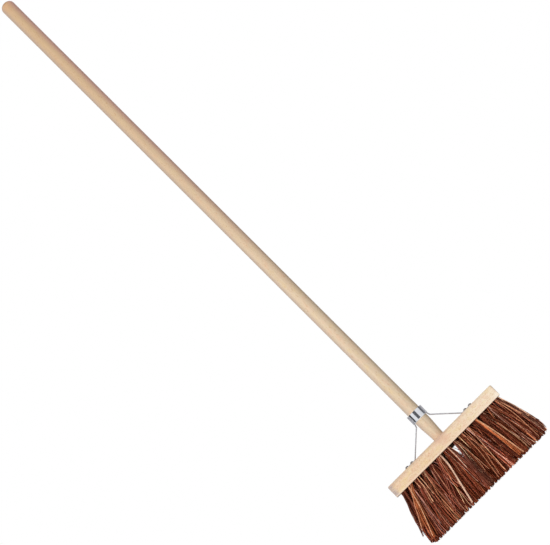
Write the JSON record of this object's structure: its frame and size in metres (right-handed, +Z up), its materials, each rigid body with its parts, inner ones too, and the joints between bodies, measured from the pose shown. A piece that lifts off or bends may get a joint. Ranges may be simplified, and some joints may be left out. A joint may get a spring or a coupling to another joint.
{
  "type": "yard broom",
  "caption": "Stiff-bristled yard broom: wooden block set with flared plant-fibre tufts, long round handle driven through it, two wire stays from a sheet collar.",
  "frame": {"origin": "on the plane of the bristle tips, under the middle of the block", "axes": "+Z up along the handle, +X along the block towards its right-hand end, +Y towards its back"},
  "size_m": [0.3133, 0.0793, 1.3265],
  "materials": {
    "handle_wood": "bare turned wood, smooth",
    "block_wood": "bare sawn and sanded wood",
    "bristle_fibre": "stiff brown plant fibre, matt",
    "zinc_sheet": "bright zinc-coated sheet",
    "steel_wire": "drawn steel wire, dull grey"
  },
  "bodies": {
    "root": {"handle": "handle_wood", "block": "block_wood", "collar": "zinc_sheet", "collar_screw": "steel_wire", "stay_left": "steel_wire", "stay_right": "steel_wire", "staple_left_inner": "steel_wire", "staple_left_outer": "steel_wire", "staple_right_inner": "steel_wire", "staple_right_outer": "steel_wire", "tuft_front_01": "bristle_fibre", "tuft_front_02": "bristle_fibre", "tuft_front_03": "bristle_fibre", "tuft_front_04": "bristle_fibre", "tuft_front_05": "bristle_fibre", "tuft_front_06": "bristle_fibre", "tuft_front_07": "bristle_fibre", "tuft_front_08": "bristle_fibre", "tuft_front_09": "bristle_fibre", "tuft_front_10": "bristle_fibre", "tuft_front_11": "bristle_fibre", "tuft_front_12": "bristle_fibre", "tuft_front_13": "bristle_fibre", "tuft_front_14": "bristle_fibre", "tuft_middle_01": "bristle_fibre", "tuft_middle_02": "bristle_fibre", "tuft_middle_03": "bristle_fibre", "tuft_middle_04": "bristle_fibre", "tuft_middle_05": "bristle_fibre", "tuft_middle_06": "bristle_fibre", "tuft_middle_07": "bristle_fibre", "tuft_middle_08": "bristle_fibre", "tuft_middle_09": "bristle_fibre", "tuft_middle_10": "bristle_fibre", "tuft_middle_11": "bristle_fibre", "tuft_middle_12": "bristle_fibre", "tuft_back_01": "bristle_fibre", "tuft_back_02": "bristle_fibre", "tuft_back_03": "bristle_fibre", "tuft_back_04": "bristle_fibre", "tuft_back_05": "bristle_fibre", "tuft_back_06": "bristle_fibre", "tuft_back_07": "bristle_fibre", "tuft_back_08": "bristle_fibre", "tuft_back_09": "bristle_fibre", "tuft_back_10": "bristle_fibre", "tuft_back_11": "bristle_fibre", "tuft_back_12": "bristle_fibre", "tuft_back_13": "bristle_fibre", "tuft_back_14": "bristle_fibre"}
  },
  "joints": []
}
